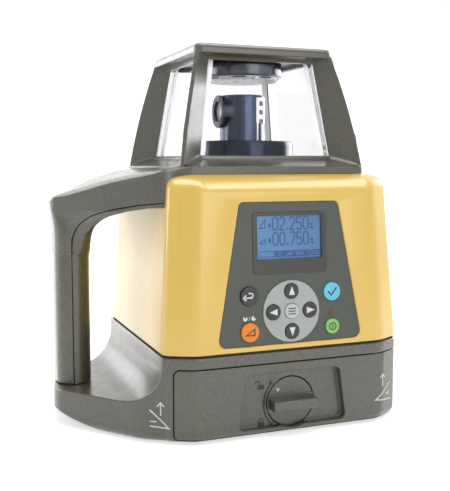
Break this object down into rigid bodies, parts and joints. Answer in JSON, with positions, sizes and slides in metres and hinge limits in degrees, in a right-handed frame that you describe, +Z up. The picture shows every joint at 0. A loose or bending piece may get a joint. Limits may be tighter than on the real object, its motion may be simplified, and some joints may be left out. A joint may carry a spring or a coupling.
{
  "type": "dual grade laser",
  "caption": "Rotary construction laser with glazed head, side carrying handle, front keypad with display, pull-out battery tray and an inner two-axis tilting spindle.",
  "frame": {"origin": "mouth of the tripod thread on the resting face, on the spin axis of the head", "axes": "+Z up along the spin axis, -Y towards the keypad front, -X towards the carrying handle"},
  "size_m": [0.222, 0.1722, 0.25],
  "materials": {
    "shell_yellow": "fine moulded grain",
    "housing_grey": "fine moulded grain",
    "panel_grey": "satin film",
    "ring_grey": "satin",
    "key_black": "satin",
    "key_orange": "satin",
    "key_blue": "satin",
    "key_green": "satin",
    "lamp_red": "gloss",
    "bezel_dark": "gloss",
    "display_blue": "clear over a lit blue display",
    "lantern_glass": "clear",
    "head_metal": "dark anodised, turned",
    "drum_cover": "satin",
    "optic_glass": "coated",
    "screw_steel": "bright",
    "bush_brass": "turned",
    "seal_rubber": "matt",
    "frame_alloy": "cast",
    "board_green": "coated board",
    "motor_steel": "plated",
    "cell_can": "printed sleeve",
    "module_grey": "matt",
    "knob_grey": "fine moulded grain"
  },
  "bodies": {
    "frame": {"base_housing": "housing_grey", "tripod_bush": "bush_brass", "base_screws": "screw_steel", "body_gasket": "seal_rubber", "body_shell": "shell_yellow", "panel_plate": "panel_grey", "arrow_ring": "ring_grey", "status_lamp": "lamp_red", "display_frame": "bezel_dark", "display_window": "display_blue", "display_module": "module_grey", "key_membrane": "seal_rubber", "key_board": "board_green", "panel_screws": "screw_steel", "upper_housing": "housing_grey", "grip_inner": "housing_grey", "lantern_cage": "housing_grey", "lantern_panes": "lantern_glass", "lantern_floor": "head_metal", "receiver_drum": "head_metal", "receiver_cover": "drum_cover", "receiver_screws": "screw_steel", "chassis": "frame_alloy", "main_board": "board_green", "tilt_motor_x": "motor_steel"},
    "tray": {"battery_tray": "housing_grey", "d_cells": "cell_can", "cell_contacts": "screw_steel"},
    "lock": {"lock_knob": "knob_grey", "lock_tongue": "screw_steel"},
    "ring": {"gimbal_ring": "frame_alloy", "tilt_motor_y": "motor_steel"},
    "housing": {"spindle_housing": "frame_alloy", "bearing_upper": "screw_steel", "bearing_lower": "screw_steel", "spin_motor": "motor_steel", "drive_belt": "seal_rubber", "laser_module": "bush_brass", "level_vials": "optic_glass"},
    "head": {"spindle": "motor_steel", "spindle_pulley": "frame_alloy", "turret": "head_metal", "prism": "optic_glass", "exit_ring": "head_metal", "exit_lens": "optic_glass"},
    "drive_pulley": {"motor_pulley": "frame_alloy"},
    "screw_x": {"lead_screw_x": "screw_steel"},
    "nut_x": {"lead_nut_x": "bush_brass"},
    "screw_y": {"lead_screw_y": "screw_steel"},
    "nut_y": {"lead_nut_y": "bush_brass"},
    "key_back": {"key_back": "key_black"},
    "key_enter": {"key_enter": "key_blue"},
    "key_axis": {"key_axis": "key_orange"},
    "key_power": {"key_power": "key_green"},
    "key_menu": {"key_menu": "ring_grey"},
    "key_up": {"key_up": "key_black"},
    "key_down": {"key_down": "key_black"},
    "key_left": {"key_left": "key_black"},
    "key_right": {"key_right": "key_black"}
  },
  "joints": [
    {"name": "tray_slide", "type": "slide", "parent": "frame", "child": "tray", "axis": [0, -1, 0], "range_m": [0, 0.14]},
    {"name": "lock_turn", "type": "hinge", "parent": "tray", "child": "lock", "pos_m": [0.0012, -0.0805, 0.0193], "axis": [0, -1, 0], "range_deg": [0, 90]},
    {"name": "tilt_x", "type": "hinge", "parent": "frame", "child": "ring", "pos_m": [0, 0, 0.146], "axis": [1, 0, 0], "range_deg": [-5.7, 5.7]},
    {"name": "tilt_y", "type": "hinge", "parent": "ring", "child": "housing", "pos_m": [0, 0, 0.146], "axis": [0, 1, 0], "range_deg": [-5.7, 5.7]},
    {"name": "head_spin", "type": "hinge", "parent": "housing", "child": "head", "pos_m": [0, 0, 0.1], "axis": [0, 0, 1], "continuous": true},
    {"name": "motor_spin", "type": "hinge", "parent": "housing", "child": "drive_pulley", "pos_m": [0, 0.042, 0.1], "axis": [0, 0, 1], "continuous": true},
    {"name": "screw_x_turn", "type": "hinge", "parent": "frame", "child": "screw_x", "pos_m": [0, -0.058, 0.13], "axis": [0, 0, 1], "range_deg": [-540, 540]},
    {"name": "nut_x_slide", "type": "slide", "parent": "frame", "child": "nut_x", "axis": [0, 0, 1], "range_m": [-0.006, 0.006]},
    {"name": "screw_y_turn", "type": "hinge", "parent": "ring", "child": "screw_y", "pos_m": [0.038, 0.024, 0.15], "axis": [0, 0, 1], "range_deg": [-360, 360]},
    {"name": "nut_y_slide", "type": "slide", "parent": "ring", "child": "nut_y", "axis": [0, 0, 1], "range_m": [-0.004, 0.004]},
    {"name": "key_back_press", "type": "slide", "parent": "frame", "child": "key_back", "axis": [0, 0.9981, -0.0619], "range_m": [0, 0.0008], "stiffness_N_per_m": 700},
    {"name": "key_enter_press", "type": "slide", "parent": "frame", "child": "key_enter", "axis": [0, 0.9981, -0.0619], "range_m": [0, 0.0008], "stiffness_N_per_m": 700},
    {"name": "key_axis_press", "type": "slide", "parent": "frame", "child": "key_axis", "axis": [0, 0.9981, -0.0619], "range_m": [0, 0.0008], "stiffness_N_per_m": 700},
    {"name": "key_power_press", "type": "slide", "parent": "frame", "child": "key_power", "axis": [0, 0.9981, -0.0619], "range_m": [0, 0.0008], "stiffness_N_per_m": 700},
    {"name": "key_menu_press", "type": "slide", "parent": "frame", "child": "key_menu", "axis": [0, 0.9981, -0.0619], "range_m": [0, 0.0008], "stiffness_N_per_m": 700},
    {"name": "key_up_press", "type": "slide", "parent": "frame", "child": "key_up", "axis": [0, 0.9981, -0.0619], "range_m": [0, 0.0008], "stiffness_N_per_m": 700},
    {"name": "key_down_press", "type": "slide", "parent": "frame", "child": "key_down", "axis": [0, 0.9981, -0.0619], "range_m": [0, 0.0008], "stiffness_N_per_m": 700},
    {"name": "key_left_press", "type": "slide", "parent": "frame", "child": "key_left", "axis": [0, 0.9981, -0.0619], "range_m": [0, 0.0008], "stiffness_N_per_m": 700},
    {"name": "key_right_press", "type": "slide", "parent": "frame", "child": "key_right", "axis": [0, 0.9981, -0.0619], "range_m": [0, 0.0008], "stiffness_N_per_m": 700}
  ],
  "couplings": [
    {"joint": "motor_spin", "follows": "head_spin", "ratio": 2.8333},
    {"joint": "nut_x_slide", "follows": "tilt_x", "m_per_rad": -0.058},
    {"joint": "screw_x_turn", "follows": "tilt_x", "ratio": 91.106},
    {"joint": "nut_y_slide", "follows": "tilt_y", "m_per_rad": -0.038},
    {"joint": "screw_y_turn", "follows": "tilt_y", "ratio": 59.69}
  ]
}
